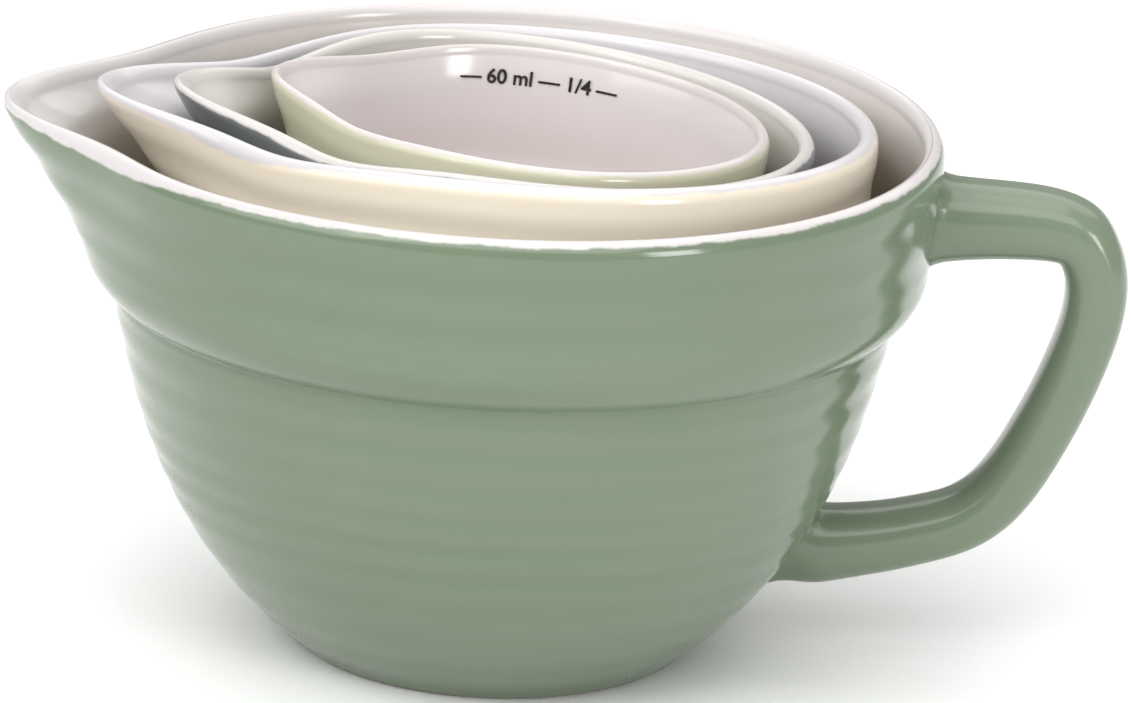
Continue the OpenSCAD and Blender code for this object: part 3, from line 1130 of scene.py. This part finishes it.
@dataclass(frozen=True)
class SoftBox:
    """A soft rectangular light that faces the cups.

    Attributes:
        name: The light's name.
        azimuth: Direction from the cups in degrees, 0 towards the camera, positive to the right.
        elevation: Height of that direction in degrees.
        distance: Distance in metres.
        size: Width and height in metres.
        power: Strength in watts.
    """

    name: str
    azimuth: float
    elevation: float
    distance: float
    size: tuple[float, float]
    power: float

    def make(self, target: Vector) -> None:
        """Hangs the light and turns it to the target."""
        lamp = bpy.data.lights.new(self.name, "AREA")
        lamp.shape = "RECTANGLE"
        lamp.size, lamp.size_y = self.size
        lamp.energy = self.power
        az, el = math.radians(self.azimuth), math.radians(self.elevation)
        way = Vector((math.sin(az) * math.cos(el), -math.cos(az) * math.cos(el), math.sin(el)))
        light = bpy.data.objects.new(self.name, lamp)
        light.location = target + way * self.distance
        light.rotation_euler = (-way).to_track_quat("-Z", "Y").to_euler()
        bpy.context.scene.collection.objects.link(light)


@dataclass(frozen=True)
class Studio:
    """Camera, lights, paper floor and the pale surroundings.

    Attributes:
        aim: Point that the camera looks at, in millimetres.
        elevation: Height of the camera's direction in degrees.
        roll: Turn of the camera about its own axis in degrees.
        distance: Distance from the camera to the aim in metres.
        lens: Focal length in millimetres on a sensor 36 mm wide.
        floor_front: How far the paper reaches towards the camera, in metres.
        floor_back: How far the paper reaches to the back and the sides, in metres.
        sky: Colour of the surroundings.
        dark_sky: Brightness of the surroundings behind the camera.
        bright_sky: Brightness of the surroundings behind the cups.
        sky_span: Places along the view, from -1 in front to 1 behind, where dark turns to bright.
        boxes: The soft boxes.
    """

    aim: tuple[float, float, float] = (7.565, 0.0, 35.36)
    elevation: float = 18.0
    roll: float = 2.9
    distance: float = 0.85
    lens: float = 229.4
    floor_front: float = 0.42
    floor_back: float = 0.75
    sky: Colour = (1.0, 0.995, 0.99)
    dark_sky: float = 0.3
    bright_sky: float = 0.42
    sky_span: tuple[float, float] = (-0.45, 0.35)
    boxes: tuple[SoftBox, ...] = (
        SoftBox("window_right", 44.0, 13.0, 1.5, (0.32, 0.6), 7.0),
        SoftBox("back_top", 172.0, 46.0, 1.8, (2.4, 1.2), 10.0),
        SoftBox("wide_left", -62.0, 36.0, 1.7, (1.5, 1.1), 14.0),
        SoftBox("front_top", -5.0, 48.0, 1.7, (2.2, 1.0), 18.0),
        SoftBox("overhead", 0.0, 88.0, 1.7, (1.6, 1.6), 14.0),
    )

    def make_camera(self) -> None:
        """Sets up the camera."""
        lens = bpy.data.cameras.new("camera")
        lens.lens = self.lens
        lens.sensor_width = 36.0
        lens.clip_start = 0.05
        camera = bpy.data.objects.new("camera", lens)
        el = math.radians(self.elevation)
        way = Vector((0.0, -math.cos(el), math.sin(el)))
        camera.location = Vector(self.aim) * MM + way * self.distance
        level = (-way).to_track_quat("-Z", "Y")
        camera.rotation_mode = "QUATERNION"
        camera.rotation_quaternion = level @ Quaternion((0, 0, 1), math.radians(self.roll))
        bpy.context.scene.collection.objects.link(camera)
        bpy.context.scene.camera = camera

    def make_floor(self) -> None:
        """Lays the paper floor."""
        half, near = self.floor_back, -self.floor_front
        mesh = bpy.data.meshes.new("paper_floor")
        mesh.from_pydata([(-half, near, 0), (half, near, 0), (half, half, 0), (-half, half, 0)], [],
                         [(0, 1, 2, 3)])
        floor = bpy.data.objects.new("paper_floor", mesh)
        bpy.context.scene.collection.objects.link(floor)
        mesh.materials.append(StudioPaper().material())

    def make_light(self) -> None:
        """Hangs the soft boxes and sets the pale surroundings."""
        for box in self.boxes:
            box.make(Vector(self.aim) * MM)
        world = bpy.data.worlds.new("pale_room")
        world.use_nodes = True
        nodes, links = world.node_tree.nodes, world.node_tree.links
        split = nodes.new("ShaderNodeSeparateXYZ")
        depth = nodes.new("ShaderNodeMapRange")
        links.new(nodes.new("ShaderNodeTexCoord").outputs["Generated"], split.inputs["Vector"])
        links.new(split.outputs["Y"], depth.inputs["Value"])
        near, far = self.sky_span
        for key, number in (("From Min", near), ("From Max", far), ("To Min", self.dark_sky),
                            ("To Max", self.bright_sky)):
            depth.inputs[key].default_value = number
        background = nodes["Background"]
        background.inputs["Color"].default_value = (*self.sky, 1.0)
        links.new(depth.outputs["Result"], background.inputs["Strength"])
        bpy.context.scene.world = world
        bpy.context.scene.view_settings.view_transform = "Standard"


def main() -> None:
    """Builds the studio and then every cup with its pieces."""
    logging.basicConfig(level=logging.INFO, format="%(name)s: %(message)s")
    studio = Studio()
    studio.make_camera()
    studio.make_floor()
    studio.make_light()
    enamel = FiredEnamel().material()
    cups = Nest().cups()
    for cup in cups:
        bowl = cup.make_bowl()
        LOG.info("%s: %d faces, %s", bowl.name, len(bowl.data.polygons), cup.glaze.name)
        mark = cup.make_mark(enamel)
        LOG.info("%s: %d faces, reads %s", mark.name, len(mark.data.polygons), cup.mark)
        if cup.label == "one_cup":
            strap = StrapHandle(cup.form).make(bowl.data.materials[0])
            LOG.info("%s: %d faces", strap.name, len(strap.data.polygons))


if __name__ == "__main__":
    main()
